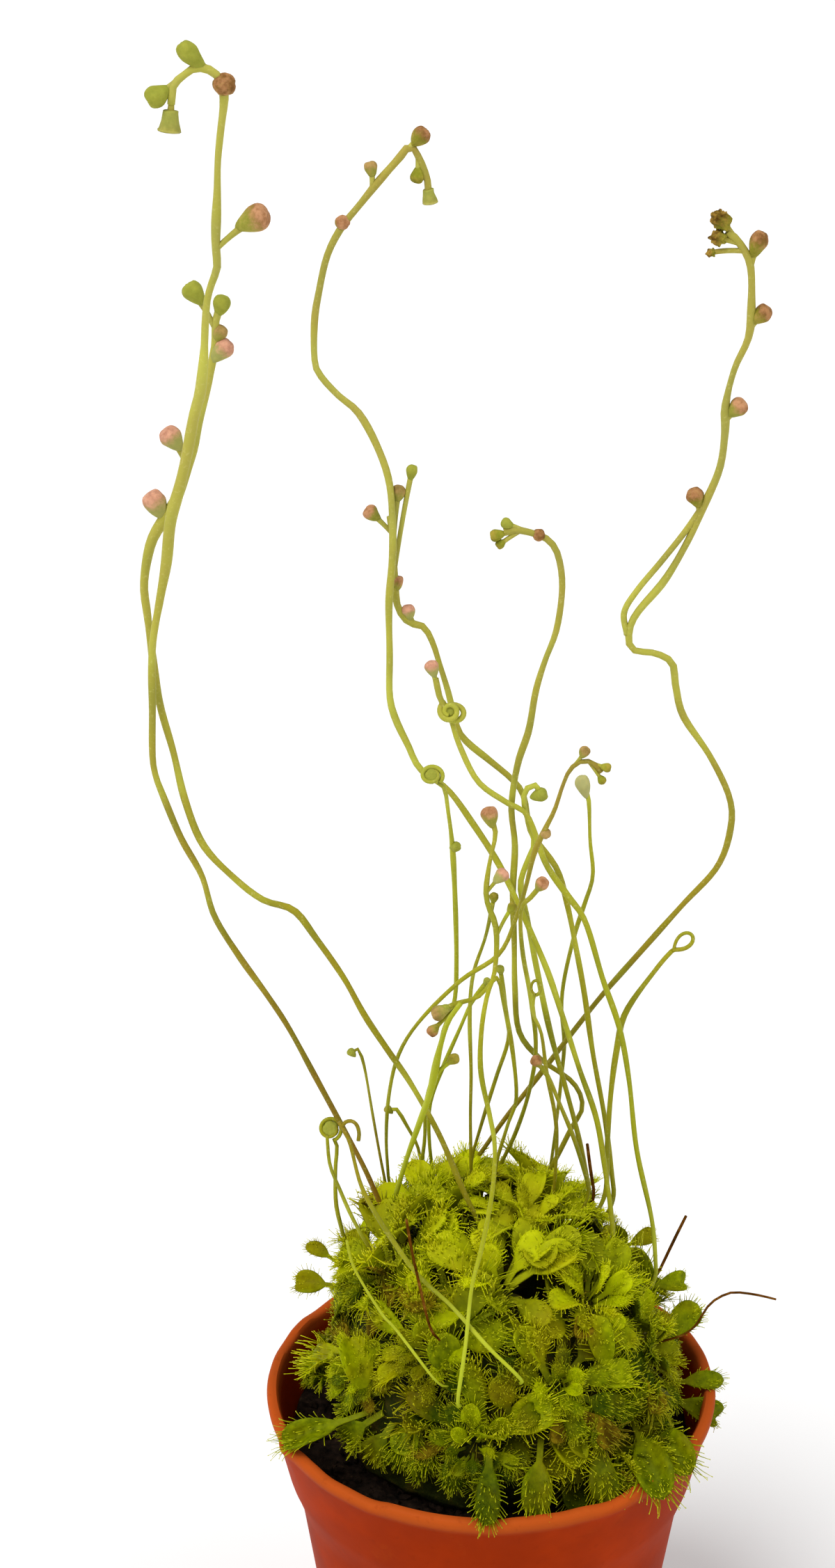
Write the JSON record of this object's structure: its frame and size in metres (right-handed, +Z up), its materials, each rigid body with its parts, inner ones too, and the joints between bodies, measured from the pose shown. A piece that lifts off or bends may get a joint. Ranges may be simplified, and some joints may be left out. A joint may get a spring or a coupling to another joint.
{
  "type": "potted sundew plant",
  "caption": "Clump of small rosette sundews with sticky spoon leaves and tall, budded flower stems, growing in a round plastic nursery pot.",
  "frame": {"origin": "the centre of the pot's flat base, on the surface that the pot stands on", "axes": "+Z is up, +Y points away from the viewer of the picture, +X is the picture's right"},
  "size_m": [0.0799, 0.06, 0.2344],
  "materials": {
    "terracotta_plastic": "satin",
    "peat": "matte",
    "spent_leaf": "matte",
    "leaf": "satin",
    "flower_stem": "satin",
    "dry_stalk": "matte"
  },
  "bodies": {
    "root": {"pot": "terracotta_plastic", "peat": "peat", "leaf_cushion": "spent_leaf", "rosette_01": "leaf", "rosette_02": "leaf", "rosette_03": "leaf", "rosette_04": "leaf", "rosette_05": "leaf", "rosette_06": "leaf", "rosette_07": "leaf", "rosette_08": "leaf", "rosette_09": "leaf", "rosette_10": "leaf", "rosette_11": "leaf", "rosette_12": "leaf", "rosette_13": "leaf", "rosette_14": "leaf", "rosette_15": "leaf", "rosette_16": "leaf", "rosette_17": "leaf", "rosette_18": "leaf", "rosette_19": "leaf", "rosette_20": "leaf", "scape_tall_tan": "flower_stem", "scape_tall_green": "flower_stem", "scape_drooping": "flower_stem", "scape_beaded": "flower_stem", "scape_knotted": "flower_stem", "scape_middle_hook": "flower_stem", "scape_tall_right": "flower_stem", "scape_small_cyme": "flower_stem", "scape_grey_bud": "flower_stem", "scape_green_hook": "flower_stem", "scape_pink_bud": "flower_stem", "scape_side_bud": "flower_stem", "scape_coil": "flower_stem", "scape_loop_right": "flower_stem", "scape_oval_coil": "flower_stem", "scape_left_cluster": "flower_stem", "scape_pale_a": "flower_stem", "scape_pale_b": "flower_stem", "scape_thin_vertical": "flower_stem", "scape_thin_mid": "flower_stem", "scape_thin_right": "flower_stem", "scape_thin_hook": "flower_stem", "scape_small_hook": "flower_stem", "scape_left_coil": "flower_stem", "scape_left_curl": "flower_stem", "scape_foreground": "flower_stem", "scape_thin_left": "flower_stem", "dry_stalk_right": "dry_stalk", "dry_stalk_back": "dry_stalk", "dry_stalk_front": "dry_stalk", "dry_stalk_dark": "dry_stalk"}
  },
  "joints": []
}
